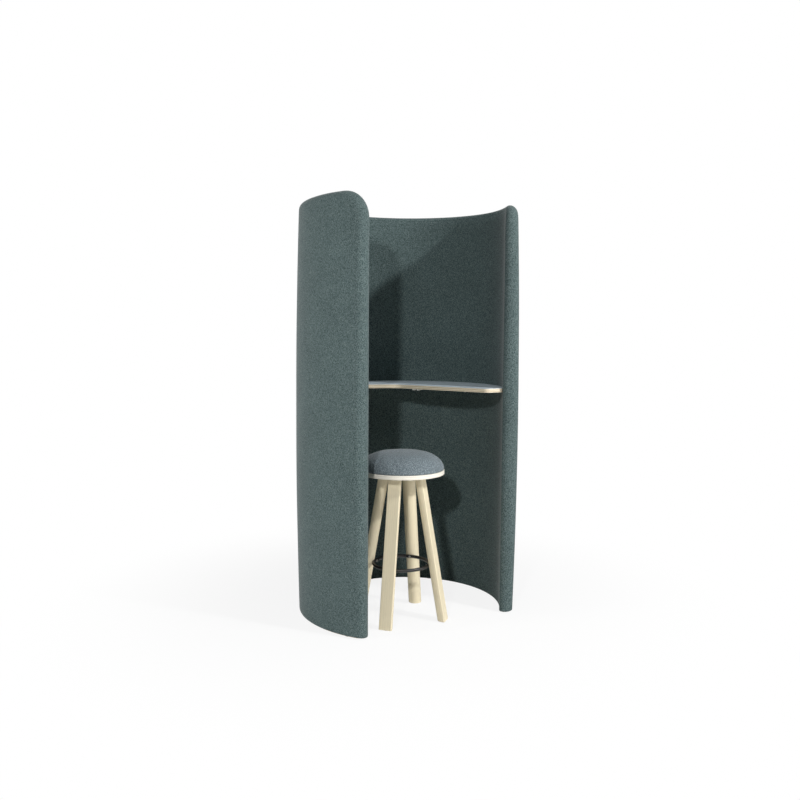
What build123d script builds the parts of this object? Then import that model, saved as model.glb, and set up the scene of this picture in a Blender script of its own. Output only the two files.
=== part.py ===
from build123d import *

import math
import os

# Acoustic workstation: an upholstered screen wall bent into most of a circle, a worktop held inside
# it at standing height, and a bar stool that stands loose in it.
# Millimetres and degrees, +Z up. The opening faces -Y. The origin is on the floor, under the middle
# of the overall box. Pieces of the wall and the worktop are placed about the wall's own axis.

# Wall, overall
overall_height = 1894
inner_radius = 447
opening_angle = 98.6
wing_corner_radius = 112
inner_edge_round = 18
outer_edge_round = 36
foot_edge_round = 7
joint_gap = 0.6

# Wall, layers from the inside out: foam and fabric, bent skin, ribs, bent skin, foam and fabric
inner_foam = 10
skin_thickness = 4
rib_width = 34
foot_foam = 8.5
middle_foam = 20.5
top_foam = 5
edge_foam = 10

# Wall frame
glide_height = 4
glide_radius = 15
glide_pin_radius = 2
glide_pin_length = 12
glide_angles = (-30, 8, 46, 84)
base_thickness = 18
post_width = 40
back_post_width = 40
post_split = 40
frame_inner_round = 8
frame_outer_round = 29
rib_thickness = 18
lower_rib_height = 430
upper_rib_share = 0.758
rail_height = 96

# Hooked joint between the two halves. The plates' heights are shares of the overall height
joint_plate_shares = (0.137, 0.437, 0.821)
joint_plate_end = 9
joint_plate_width = 26
joint_plate_thickness = 3
hook_width = 6
hook_height = 10
hook_lip = 4
hook_drop = 10
hook_spacing = 50
hook_clearance = 0.5
joint_screw_radius = 2
joint_screw_length = 25
joint_screw_spacing = 92

# Worktop. Its plan is set out in shares of the wall's inner radius
worktop_height = 1055
surface_thickness = 2
board_thickness = 17.5
worktop_wall_gap = 1
elbow_x_share = 0.0798
elbow_y_share = 0.3711
elbow_radius_share = 0.201
worktop_end_share = 0.615
left_edge_slope = 18.5
right_edge_slope = 62.5
end_corner_radius = 28
wall_corner_radius = 12
board_edge_chamfer = 1

# Steel arms that carry the worktop
arm_first_angle = -22
arm_spacing = 40
arm_count = 4
arm_length = 190
arm_width = 40
arm_thickness = 6
arm_flange_height = 70
arm_bend_radius = 9
arm_tip_radius = 12
slit_clearance = 0.5
seat_clearance = 0.1
arm_bolt_radius = 4
arm_bolt_head_radius = 8
arm_bolt_first_drop = 24
arm_bolt_spacing = 28
bolt_clearance = 0.25
nut_radius = 6
nut_length = 14
arm_screw_radius = 2.25
arm_screw_head_radius = 4.5
arm_screw_head_height = 2.4
arm_screw_bite = 12
arm_screw_count = 3
arm_screw_spacing = 62
arm_screw_tip_margin = 20
screw_clearance = 0.05

# Two-peg hanger under the worktop's right-hand front edge
peg_radius = 3.5
peg_spacing = 27
peg_length = 26
peg_setback = 3
hanger_run_share = 0.226
hanger_width = 46
hanger_depth = 14
hanger_height = 3.5
hanger_screw_radius = 1.5
hanger_screw_head_radius = 3
hanger_screw_head_height = 2
hanger_screw_bite = 9

# Stool. Its place is set out in shares of the wall's inner radius
stool_side_share = 0.2008
stool_setback_share = 0.2639
stool_turn = -2.5
seat_radius = 194
seat_height_to_disc = 668
seat_disc_thickness = 19
seat_disc_round = 2
cushion_height = 80
cushion_side_pull = 50
cushion_top_pull = 140
cushion_base_radius = 176
cushion_base_thickness = 9
cushion_screw_radius = 2.5
cushion_screw_head_radius = 5
cushion_screw_head_height = 2.5
cushion_screw_circle = 150
leg_count = 4
leg_width = 60
leg_depth = 40
leg_corner_round = 4
leg_foot_radius = 219
leg_splay = 10
leg_bolt_radius = 4
leg_bolt_head_radius = 7
leg_bolt_head_height = 5
leg_bolt_length = 70
leg_bolt_spacing = 28
leg_bolt_circle = 82
stool_glide_height = 3
stool_glide_radius = 13
ring_height = 248
ring_rod_radius = 7.5
ring_flat = 0.8
ring_flat_width = 40
ring_leg_gap = 0.5
ring_screw_radius = 2.25
ring_screw_head_radius = 4.5
ring_screw_head_height = 2.5
ring_screw_bite = 28

# One overrun serves every cut that has to pass a face
overrun = 5

# Sizes and places that follow from the values above
inner_skin_radius = inner_radius + inner_foam
rib_inner_radius = inner_skin_radius + skin_thickness
rib_outer_radius = rib_inner_radius + rib_width
frame_outer_radius = rib_outer_radius + skin_thickness
rib_middle_radius = (rib_inner_radius + rib_outer_radius) / 2
outer_foot_radius = frame_outer_radius + foot_foam
outer_middle_radius = frame_outer_radius + middle_foam
outer_top_radius = frame_outer_radius + top_foam
middle_height = (glide_height + overall_height) / 2
base_top = glide_height + base_thickness
frame_top = overall_height - edge_foam
frame_corner_radius = wing_corner_radius - edge_foam
rail_bottom = frame_top - post_width
upper_rib_height = overall_height * upper_rib_share
joint_plate_heights = [overall_height * share for share in joint_plate_shares]
joint_plate_length = joint_screw_spacing + 2 * joint_plate_end
post_inner_edge = edge_foam + post_width
wall_reach = 2 * outer_middle_radius

wing_angle = opening_angle / 2 - 90
half_arc = 90 - wing_angle
wing_out = Vector(math.cos(math.radians(wing_angle)), math.sin(math.radians(wing_angle)), 0)
wing_along = Vector(-wing_out.Y, wing_out.X, 0)
front_reach = (
    -(outer_middle_radius - outer_edge_round) * wing_out.Y - outer_edge_round * wing_along.Y + outer_edge_round
)
wall_axis_y = (front_reach - outer_middle_radius) / 2
wall_centre = Vector(0, wall_axis_y, 0)
wall_axis = Axis(wall_centre, (0, 0, 1))

# Sketch planes of the wall: a section (radius, height) at the wing's end, and an elevation of the
# wing (distance from its end, height) that is pushed out along the radius there
section_plane = Plane(wall_centre, x_dir=wing_out, z_dir=(wing_out.Y, -wing_out.X, 0))
wing_plane = Plane(wall_centre, x_dir=wing_along, z_dir=wing_out)
joint_plane = Plane.YZ.offset(joint_gap / 2)

board_top = worktop_height - surface_thickness
board_bottom = board_top - board_thickness
board_radius = inner_radius - worktop_wall_gap
elbow_x = inner_radius * elbow_x_share
elbow_y = inner_radius * elbow_y_share
elbow_radius = inner_radius * elbow_radius_share
worktop_end_y = -inner_radius * worktop_end_share
arm_angles = [arm_first_angle + arm_spacing * i for i in range(arm_count)]
flange_back = math.sqrt(inner_skin_radius**2 - (arm_width / 2) ** 2) - seat_clearance
flange_front = flange_back - arm_thickness
arm_tip = board_radius - arm_length
arm_bottom = board_bottom - arm_thickness
arm_bolt_heights = [board_bottom - arm_bolt_first_drop - arm_bolt_spacing * i for i in range(2)]
arm_screw_radii = [arm_tip + arm_screw_tip_margin + arm_screw_spacing * i for i in range(arm_screw_count)]
rail_top = board_bottom
nut_start = rib_outer_radius - nut_length

stool_centre = Vector(-inner_radius * stool_side_share, wall_axis_y - inner_radius * stool_setback_share, 0)
disc_top = seat_height_to_disc + seat_disc_thickness
splay_run = math.tan(math.radians(leg_splay))
leg_angles = {
    "front_right": stool_turn - 45,
    "back_right": stool_turn + 45,
    "back_left": stool_turn + 135,
    "front_left": stool_turn - 135,
}
leg_inner_at_ring = (
    leg_foot_radius - ring_height * splay_run - leg_depth / math.cos(math.radians(leg_splay))
)
ring_radius = leg_inner_at_ring - ring_leg_gap - (ring_rod_radius - ring_flat)
ring_seat = ring_rod_radius - ring_flat

os.makedirs("parts", exist_ok=True)


def keep(piece, name):
    """Label a finished piece and write it to its own file."""
    piece.part.label = name
    export_step(piece.part, f"parts/{name}.step")


def direction(angle):
    """Unit vector in plan at an angle from +X."""
    return Vector(math.cos(math.radians(angle)), math.sin(math.radians(angle)), 0)


def radial_section(centre, angle):
    """Upright plane through a vertical axis: local X is the radius, local Y is the height."""
    out = direction(angle)
    return Plane(centre, x_dir=out, z_dir=(out.Y, -out.X, 0))


def facing_plane(centre, angle, radius):
    """Upright plane that faces outwards at a radius: local X runs along the circle, Y is the height."""
    out = direction(angle)
    return Plane(centre + out * radius, x_dir=(-out.Y, out.X, 0), z_dir=out)


def wing_outline(setback, low, high, corner):
    """Elevation of the wing from a setback behind its end, with its upper corner rounded."""
    with BuildSketch(wing_plane) as outline:
        with Locations((setback, low)):
            Rectangle(wall_reach, high - low, align=(Align.MIN, Align.MIN))
        if corner > 0:
            fillet(outline.vertices().group_by(Axis.X)[0].sort_by(Axis.Y)[-1], corner)
    return outline.sketch


def half_band(inner, outer, low, high, setback, corner):
    """Right half of a plain ring wall, cut to a wing outline and to the joint at the back."""
    with BuildPart() as band:
        with BuildSketch(section_plane):
            with Locations((inner, low)):
                Rectangle(outer - inner, high - low, align=(Align.MIN, Align.MIN))
        revolve(axis=wall_axis, revolution_arc=half_arc)
        extrude(wing_outline(setback, low, high, corner), amount=wall_reach, both=True, mode=Mode.INTERSECT)
        split(bisect_by=joint_plane, keep=Keep.TOP)
    return band.part


def rim_edges(builder, outer):
    """Top and end edges of a half wall on its outer or inner face, without its foot and back joint."""
    joint_edges = builder.faces().sort_by(Axis.X)[0].edges()
    foot_edges = builder.faces().sort_by(Axis.Z)[0].edges()
    broad_faces = builder.faces().sort_by(SortBy.AREA)
    face = broad_faces[-1] if outer else broad_faces[-2]
    return [edge for edge in face.edges().sort_by(Axis.Z) if edge not in joint_edges and edge not in foot_edges]


def halves(right_part):
    """The right-hand piece and its mirror image on the left."""
    with BuildPart() as left:
        mirror(right_part, about=Plane.YZ)
    return {"right": right_part, "left": left.part}


# Frame envelope of the right half: everything between the two skins' outer faces. The cover is
# hollowed by it, and the base rib, end post and top rail are slices of it.
with BuildPart() as frame_envelope:
    add(half_band(inner_skin_radius, frame_outer_radius, glide_height, frame_top, edge_foam, frame_corner_radius))
    fillet(rim_edges(frame_envelope, outer=True), frame_outer_round)
    fillet(rim_edges(frame_envelope, outer=False), frame_inner_round)

# Padded cover of one half: foam and fabric, crowned on the outside, with soft edges
with BuildPart() as plain_cover:
    with BuildSketch(section_plane):
        with BuildLine():
            inner_face_line = Line((inner_radius, glide_height), (inner_radius, overall_height))
            outer_face_line = ThreePointArc(
                (outer_top_radius, overall_height),
                (outer_middle_radius, middle_height),
                (outer_foot_radius, glide_height),
            )
            Line(inner_face_line @ 1, outer_face_line @ 0)
            Line(outer_face_line @ 1, inner_face_line @ 0)
        make_face()
    revolve(axis=wall_axis, revolution_arc=half_arc)
    extrude(
        wing_outline(0, glide_height, overall_height, wing_corner_radius),
        amount=wall_reach,
        both=True,
        mode=Mode.INTERSECT,
    )
    split(bisect_by=joint_plane, keep=Keep.TOP)
    fillet(rim_edges(plain_cover, outer=True), outer_edge_round)
    fillet(rim_edges(plain_cover, outer=False), inner_edge_round)
    joint_loop = plain_cover.faces().sort_by(Axis.X)[0].edges()
    foot_loop = plain_cover.faces().sort_by(Axis.Z)[0].edges()
    fillet([edge for edge in foot_loop if edge not in joint_loop], foot_edge_round)
    add(frame_envelope.part, mode=Mode.SUBTRACT)

for side, cover_half in halves(plain_cover.part).items():
    with BuildPart() as cover:
        add(cover_half)
        for angle in arm_angles:
            with BuildSketch(radial_section(wall_centre, angle)) as slit:
                with Locations((flange_back + overrun, board_bottom + slit_clearance)):
                    Rectangle(
                        arm_thickness + slit_clearance + overrun,
                        arm_flange_height + 2 * slit_clearance,
                        align=(Align.MAX, Align.MAX),
                    )
                    Rectangle(
                        flange_back + overrun - arm_tip,
                        arm_thickness + 2 * slit_clearance,
                        align=(Align.MAX, Align.MAX),
                    )
                slit_corner = slit.vertices().sort_by_distance((flange_front, arm_bottom))[0]
                fillet(slit_corner, arm_bend_radius - arm_thickness)
            extrude(amount=arm_width / 2 + slit_clearance, both=True, mode=Mode.SUBTRACT)
    keep(cover, f"{side}_wall_cover")

# Base rib: closes the foot of the cover, with pin holes for the glides
with BuildPart() as plain_base_rib:
    add(frame_envelope.part)
    split(bisect_by=Plane.XY.offset(base_top), keep=Keep.BOTTOM)
    with BuildSketch(Plane.XY.offset(glide_height)):
        with Locations([wall_centre + direction(angle) * rib_middle_radius for angle in glide_angles]):
            Circle(glide_pin_radius)
    extrude(amount=glide_pin_length, mode=Mode.SUBTRACT)

# End post: a rounded stile that turns over the wing's top corner
with BuildPart() as plain_end_post:
    add(frame_envelope.part)
    split(bisect_by=Plane.XY.offset(base_top), keep=Keep.TOP)
    extrude(
        wing_outline(post_inner_edge, 0, rail_bottom, frame_corner_radius - post_width),
        amount=wall_reach,
        both=True,
        mode=Mode.SUBTRACT,
    )
    split(bisect_by=Plane(wall_centre + wing_along * (wing_corner_radius + post_split), z_dir=wing_along), keep=Keep.BOTTOM)

# Top rail: from the end post to the joint at the back
with BuildPart() as plain_top_rail:
    add(frame_envelope.part)
    split(bisect_by=Plane.XY.offset(rail_bottom), keep=Keep.TOP)
    split(bisect_by=Plane(wall_centre + wing_along * (wing_corner_radius + post_split), z_dir=wing_along), keep=Keep.TOP)

# Back post: the stile that meets the other half, between the skins
with BuildPart() as plain_back_post:
    add(half_band(rib_inner_radius, rib_outer_radius, base_top, rail_bottom, 0, 0))
    split(bisect_by=Plane.YZ.offset(back_post_width), keep=Keep.BOTTOM)

# Ribs between the end post and the back post
with BuildPart() as plain_ribs:
    for height in (lower_rib_height, upper_rib_height):
        add(half_band(rib_inner_radius, rib_outer_radius, height, height + rib_thickness, post_inner_edge, 0))
    split(bisect_by=Plane.YZ.offset(back_post_width), keep=Keep.TOP)

# Bent skins, inside and outside the ribs
plain_skins = {}
for layer, skin_radius in (("inner", inner_skin_radius), ("outer", rib_outer_radius)):
    with BuildPart() as plain_skin:
        add(
            half_band(
                skin_radius,
                skin_radius + skin_thickness,
                base_top,
                rail_bottom,
                post_inner_edge,
                frame_corner_radius - post_width,
            )
        )
    plain_skins[layer] = plain_skin.part

# Table rail: a deep rib that the worktop's arms are bolted to
with BuildPart() as plain_table_rail:
    add(half_band(rib_inner_radius, rib_outer_radius, rail_top - rail_height, rail_top, post_inner_edge, 0))
    split(bisect_by=Plane.YZ.offset(back_post_width), keep=Keep.TOP)

for side, rib_half in halves(plain_base_rib.part).items():
    with BuildPart() as base_rib:
        add(rib_half)
    keep(base_rib, f"{side}_base_rib")

for side, post_half in halves(plain_end_post.part).items():
    with BuildPart() as end_post:
        add(post_half)
    keep(end_post, f"{side}_end_post")

for side, rail_half in halves(plain_top_rail.part).items():
    with BuildPart() as top_rail:
        add(rail_half)
    keep(top_rail, f"{side}_top_rail")

for side, ribs_half in halves(plain_ribs.part).items():
    with BuildPart() as ribs:
        add(ribs_half)
    keep(ribs, f"{side}_ribs")

for side, skin_half in halves(plain_skins["outer"]).items():
    with BuildPart() as outer_skin:
        add(skin_half)
    keep(outer_skin, f"{side}_outer_skin")

# Inner skins and table rails are drilled for the arms' bolts, and the rails are bored for the nuts
for side, skin_half in halves(plain_skins["inner"]).items():
    with BuildPart() as inner_skin:
        add(skin_half)
        for angle in arm_angles:
            with BuildSketch(facing_plane(wall_centre, angle, flange_back)):
                with Locations([(0, height) for height in arm_bolt_heights]):
                    Circle(arm_bolt_radius + bolt_clearance)
            extrude(amount=skin_thickness + overrun, mode=Mode.SUBTRACT)
    keep(inner_skin, f"{side}_inner_skin")

for side, rail_half in halves(plain_table_rail.part).items():
    with BuildPart() as table_rail:
        add(rail_half)
        for angle in arm_angles:
            with BuildSketch(facing_plane(wall_centre, angle, flange_back)):
                with Locations([(0, height) for height in arm_bolt_heights]):
                    Circle(arm_bolt_radius + bolt_clearance)
            extrude(amount=rib_outer_radius + overrun - flange_back, mode=Mode.SUBTRACT)
            with BuildSketch(facing_plane(wall_centre, angle, nut_start)):
                with Locations([(0, height) for height in arm_bolt_heights]):
                    Circle(nut_radius + screw_clearance)
            extrude(amount=nut_length + overrun, mode=Mode.SUBTRACT)
    keep(table_rail, f"{side}_table_rail")

# Glides: a disc with a pin, four under each half
with BuildPart() as plain_glides:
    with BuildSketch():
        with Locations([wall_centre + direction(angle) * rib_middle_radius for angle in glide_angles]):
            Circle(glide_radius)
    extrude(amount=glide_height)
    with BuildSketch(Plane.XY.offset(glide_height)):
        with Locations([wall_centre + direction(angle) * rib_middle_radius for angle in glide_angles]):
            Circle(glide_pin_radius - screw_clearance)
    extrude(amount=glide_pin_length - screw_clearance)

for side, glide_half in halves(plain_glides.part).items():
    with BuildPart() as glides:
        add(glide_half)
    keep(glides, f"{side}_glides")

# Hooked joint at the back. The right post carries plates with two hooks, and the left post carries
# slotted plates that the hooks drop behind.
joint_face = joint_gap / 2
joint_y = wall_axis_y + rib_middle_radius
plate_side_plane = Plane((joint_face, joint_y, 0), x_dir=(0, 1, 0), z_dir=(1, 0, 0))
hook_profile_plane = Plane((0, joint_y, 0), x_dir=(1, 0, 0), z_dir=(0, -1, 0))
hook_heights = [height + step for height in joint_plate_heights for step in (-hook_spacing / 2, hook_spacing / 2)]
screw_heights = [
    height + step for height in joint_plate_heights for step in (-joint_screw_spacing / 2, joint_screw_spacing / 2)
]
lip_start = joint_face + joint_plate_thickness + hook_clearance
hook_reach = lip_start + hook_lip

with BuildPart() as joint_hook_plates:
    with BuildSketch(plate_side_plane):
        with Locations([(0, height) for height in joint_plate_heights]):
            RectangleRounded(joint_plate_width, joint_plate_length, hook_lip)
        with Locations([(0, height) for height in screw_heights]):
            Circle(joint_screw_radius + screw_clearance, mode=Mode.SUBTRACT)
    extrude(amount=joint_plate_thickness)
    with BuildSketch(hook_profile_plane):
        with Locations([(joint_face, height) for height in hook_heights]):
            Rectangle(joint_face + hook_reach, hook_height, align=(Align.MAX, Align.MIN))
        with Locations([(-lip_start, height + hook_height) for height in hook_heights]):
            Rectangle(hook_lip, hook_height + hook_drop, align=(Align.MAX, Align.MAX))
    extrude(amount=hook_width / 2, both=True)
keep(joint_hook_plates, "joint_hook_plates")

with BuildPart() as joint_catch_plates:
    with BuildSketch(plate_side_plane.offset(-2 * joint_face - joint_plate_thickness)):
        with Locations([(0, height) for height in joint_plate_heights]):
            RectangleRounded(joint_plate_width, joint_plate_length, hook_lip)
        with Locations([(0, height) for height in screw_heights]):
            Circle(joint_screw_radius + screw_clearance, mode=Mode.SUBTRACT)
        with Locations([(0, height - seat_clearance) for height in hook_heights]):
            Rectangle(
                hook_width + 2 * hook_clearance,
                hook_height + hook_drop + 2 * hook_clearance,
                align=(Align.CENTER, Align.MIN),
                mode=Mode.SUBTRACT,
            )
    extrude(amount=joint_plate_thickness)
keep(joint_catch_plates, "joint_catch_plates")

# Screws of the joint plates: four to each pair of plates, two on each side
with BuildPart() as joint_screws:
    for mirror_side in (1, -1):
        with BuildSketch(plate_side_plane if mirror_side > 0 else plate_side_plane.offset(-2 * joint_face)):
            with Locations([(0, height) for height in screw_heights]):
                Circle(joint_screw_radius)
        extrude(amount=mirror_side * joint_screw_length)
keep(joint_screws, "joint_screws")

for side, post_half in halves(plain_back_post.part).items():
    towards_post = 1 if side == "right" else -1
    post_face_plane = plate_side_plane if side == "right" else plate_side_plane.offset(-2 * joint_face)
    with BuildPart() as back_post:
        add(post_half)
        with BuildSketch(post_face_plane):
            with Locations([(0, height) for height in joint_plate_heights]):
                RectangleRounded(
                    joint_plate_width + 2 * seat_clearance, joint_plate_length + 2 * seat_clearance, hook_lip
                )
        extrude(amount=towards_post * joint_plate_thickness, mode=Mode.SUBTRACT)
        with BuildSketch(post_face_plane):
            with Locations([(0, height) for height in screw_heights]):
                Circle(joint_screw_radius + screw_clearance)
        extrude(amount=towards_post * joint_screw_length, mode=Mode.SUBTRACT)
        if side == "left":
            with BuildSketch(post_face_plane):
                with Locations([(0, height - hook_drop - hook_clearance) for height in hook_heights]):
                    Rectangle(
                        hook_width + 2 * hook_clearance,
                        hook_height + 2 * hook_drop + 2 * hook_clearance,
                        align=(Align.CENTER, Align.MIN),
                    )
            extrude(amount=-(hook_reach + hook_clearance - joint_face), mode=Mode.SUBTRACT)
    keep(back_post, f"{side}_back_post")


def worktop_outline(height):
    """Plan of the worktop: its back follows the wall and its front is an open elbow."""
    left_run = Vector(-math.cos(math.radians(left_edge_slope)), math.sin(math.radians(left_edge_slope)), 0)
    left_far_x = elbow_x + wall_reach * left_run.X
    left_far_y = elbow_y + wall_reach * left_run.Y
    end_corner_x = elbow_x + (elbow_y - worktop_end_y) / math.tan(math.radians(right_edge_slope))
    with BuildSketch(Plane(wall_centre + Vector(0, 0, height))) as outline:
        with BuildLine():
            Polyline(
                (left_far_x, left_far_y),
                (elbow_x, elbow_y),
                (end_corner_x, worktop_end_y),
                (wall_reach, worktop_end_y),
                (wall_reach, wall_reach),
                (left_far_x, wall_reach),
                close=True,
            )
        make_face()
        Circle(board_radius, mode=Mode.INTERSECT)
        corners = outline.vertices()
        fillet(corners.sort_by_distance((elbow_x, elbow_y))[0], elbow_radius)
        corners = outline.vertices()
        fillet(corners.sort_by_distance((end_corner_x, worktop_end_y))[0], end_corner_radius)
        corners = outline.vertices()
        fillet([corners.sort_by(Axis.X)[0], corners.sort_by(Axis.Y)[0:2].sort_by(Axis.X)[-1]], wall_corner_radius)
    return outline.sketch


# Worktop board, with blind holes for the arms' and the hanger's screws
hanger_out = direction(90 - right_edge_slope)
hanger_front = wall_centre + Vector(elbow_x, elbow_y, 0) + direction(-right_edge_slope) * inner_radius * hanger_run_share
hanger_centre = hanger_front + hanger_out * (peg_setback + peg_length + hanger_depth / 2)
hanger_plane = Plane(hanger_centre + Vector(0, 0, board_bottom), x_dir=(-hanger_out.Y, hanger_out.X, 0), z_dir=(0, 0, 1))
hanger_screw_spacing = hanger_width - 4 * hanger_screw_head_radius

with BuildPart() as worktop_board:
    extrude(worktop_outline(board_bottom), amount=board_thickness)
    chamfer(worktop_board.faces().sort_by(Axis.Z)[0].edges(), board_edge_chamfer)
    with BuildSketch(Plane.XY.offset(board_bottom)):
        for angle in arm_angles:
            with Locations([wall_centre + direction(angle) * radius for radius in arm_screw_radii]):
                Circle(arm_screw_radius + screw_clearance)
    extrude(amount=arm_screw_bite, mode=Mode.SUBTRACT)
    with BuildSketch(hanger_plane):
        with GridLocations(hanger_screw_spacing, 0, 2, 1):
            Circle(hanger_screw_radius + screw_clearance)
    extrude(amount=hanger_screw_bite, mode=Mode.SUBTRACT)
keep(worktop_board, "worktop_board")

with BuildPart() as worktop_surface:
    extrude(worktop_outline(board_top), amount=surface_thickness)
keep(worktop_surface, "worktop_surface")

# Steel arms: a bent flat bar. Its flange is bolted to the inner skin under the foam, and its arm
# comes out of a slit in the cover and lies under the board.
for number, angle in enumerate(arm_angles, start=1):
    with BuildPart() as support_arm:
        with BuildSketch(radial_section(wall_centre, angle)) as bar:
            with Locations((flange_back, board_bottom)):
                Rectangle(flange_back - arm_tip, arm_thickness, align=(Align.MAX, Align.MAX))
                Rectangle(arm_thickness, arm_flange_height, align=(Align.MAX, Align.MAX))
            bend_corners = bar.vertices().sort_by_distance((flange_front, arm_bottom))
            fillet(bend_corners[0], arm_bend_radius - arm_thickness)
            fillet(bar.vertices().sort_by_distance((flange_back, board_bottom))[0], arm_bend_radius)
        extrude(amount=arm_width / 2, both=True)
        tip_edges = support_arm.edges().filter_by(Axis.Z).sort_by_distance(wall_centre + Vector(0, 0, board_bottom))
        fillet(tip_edges[0:2], arm_tip_radius)
        with BuildSketch(Plane.XY.offset(arm_bottom)):
            with Locations([wall_centre + direction(angle) * radius for radius in arm_screw_radii]):
                Circle(arm_screw_radius + bolt_clearance)
        extrude(amount=arm_thickness, mode=Mode.SUBTRACT)
        for height in arm_bolt_heights:
            with Locations(facing_plane(wall_centre, angle, flange_front) * Location((0, height, 0))):
                Cone(
                    arm_bolt_head_radius + bolt_clearance,
                    arm_bolt_radius + bolt_clearance,
                    arm_bolt_radius,
                    align=(Align.CENTER, Align.CENTER, Align.MIN),
                    mode=Mode.SUBTRACT,
                )
                Cylinder(
                    arm_bolt_radius + bolt_clearance,
                    arm_thickness,
                    align=(Align.CENTER, Align.CENTER, Align.MIN),
                    mode=Mode.SUBTRACT,
                )
    keep(support_arm, f"support_arm_{number}")

# Countersunk bolts through the flanges, and the nuts in the rails that they turn into
with BuildPart() as arm_bolts:
    for angle in arm_angles:
        for height in arm_bolt_heights:
            with Locations(facing_plane(wall_centre, angle, flange_front) * Location((0, height, 0))):
                Cone(
                    arm_bolt_head_radius,
                    arm_bolt_radius,
                    arm_bolt_radius,
                    align=(Align.CENTER, Align.CENTER, Align.MIN),
                )
                Cylinder(
                    arm_bolt_radius,
                    rib_outer_radius - flange_front - screw_clearance,
                    align=(Align.CENTER, Align.CENTER, Align.MIN),
                )
keep(arm_bolts, "arm_bolts")

with BuildPart() as arm_nuts:
    for angle in arm_angles:
        with BuildSketch(facing_plane(wall_centre, angle, nut_start)):
            with Locations([(0, height) for height in arm_bolt_heights]):
                Circle(nut_radius)
                Circle(arm_bolt_radius + screw_clearance, mode=Mode.SUBTRACT)
        extrude(amount=nut_length - screw_clearance)
    split(bisect_by=Plane.XY, keep=Keep.TOP)
keep(arm_nuts, "arm_nuts")

# Pan-head screws up through the arms into the board
with BuildPart() as arm_screws:
    for angle in arm_angles:
        places = [wall_centre + direction(angle) * radius for radius in arm_screw_radii]
        with BuildSketch(Plane.XY.offset(arm_bottom)):
            with Locations(places):
                Circle(arm_screw_head_radius)
        extrude(amount=-arm_screw_head_height)
        with BuildSketch(Plane.XY.offset(arm_bottom)):
            with Locations(places):
                Circle(arm_screw_radius)
        extrude(amount=arm_thickness + arm_screw_bite - screw_clearance)
keep(arm_screws, "arm_screws")

# Hanger: a small block under the board with two round-ended pegs that point to the front edge
peg_plane = Plane(
    hanger_front + hanger_out * (peg_setback + peg_length) + Vector(0, 0, board_bottom - seat_clearance - peg_radius),
    x_dir=(-hanger_out.Y, hanger_out.X, 0),
    z_dir=-hanger_out,
)
with BuildPart() as peg_hanger:
    with BuildSketch(hanger_plane):
        RectangleRounded(hanger_width, hanger_depth, hanger_screw_head_radius)
    extrude(amount=-hanger_height)
    with BuildSketch(peg_plane):
        with GridLocations(peg_spacing, 0, 2, 1):
            Circle(peg_radius)
    extrude(amount=peg_length - peg_radius)
    with Locations(peg_plane.offset(peg_length - peg_radius)):
        with GridLocations(peg_spacing, 0, 2, 1):
            Sphere(peg_radius)
    with BuildSketch(hanger_plane):
        with GridLocations(hanger_screw_spacing, 0, 2, 1):
            Circle(hanger_screw_radius + bolt_clearance)
    extrude(amount=-hanger_height, mode=Mode.SUBTRACT)
keep(peg_hanger, "peg_hanger")

with BuildPart() as hanger_screws:
    with BuildSketch(hanger_plane.offset(-hanger_height)):
        with GridLocations(hanger_screw_spacing, 0, 2, 1):
            Circle(hanger_screw_head_radius)
    extrude(amount=-hanger_screw_head_height)
    with BuildSketch(hanger_plane.offset(-hanger_height)):
        with GridLocations(hanger_screw_spacing, 0, 2, 1):
            Circle(hanger_screw_radius)
    extrude(amount=hanger_height + hanger_screw_bite - screw_clearance)
keep(hanger_screws, "hanger_screws")

# Stool. The seat disc is bored for the leg bolts from above and for the cushion's screws from below.
leg_bolt_places = [
    stool_centre + direction(angle) * leg_bolt_circle + direction(angle + 90) * step
    for angle in leg_angles.values()
    for step in (-leg_bolt_spacing / 2, leg_bolt_spacing / 2)
]
cushion_screw_places = [
    stool_centre + direction(angle + 45) * cushion_screw_circle for angle in leg_angles.values()
]

with BuildPart() as seat_disc:
    with BuildSketch(Plane.XY.offset(seat_height_to_disc)):
        with Locations(stool_centre):
            Circle(seat_radius)
    extrude(amount=seat_disc_thickness)
    fillet(seat_disc.edges().filter_by(GeomType.CIRCLE), seat_disc_round)
    with BuildSketch(Plane.XY.offset(disc_top)):
        with Locations(leg_bolt_places):
            Circle(leg_bolt_head_radius + bolt_clearance)
    extrude(amount=-leg_bolt_head_height - bolt_clearance, mode=Mode.SUBTRACT)
    with BuildSketch(Plane.XY.offset(disc_top)):
        with Locations(leg_bolt_places):
            Circle(leg_bolt_radius + bolt_clearance)
        with Locations(cushion_screw_places):
            Circle(cushion_screw_radius + bolt_clearance)
    extrude(amount=-seat_disc_thickness, mode=Mode.SUBTRACT)
keep(seat_disc, "seat_disc")

# Cushion base: the board inside the cushion that its foam and fabric are fixed to
with BuildPart() as cushion_base:
    with BuildSketch(Plane.XY.offset(disc_top)):
        with Locations(stool_centre):
            Circle(cushion_base_radius)
        with Locations(cushion_screw_places):
            Circle(cushion_screw_radius + screw_clearance, mode=Mode.SUBTRACT)
    extrude(amount=cushion_base_thickness)
keep(cushion_base, "cushion_base")

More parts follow.
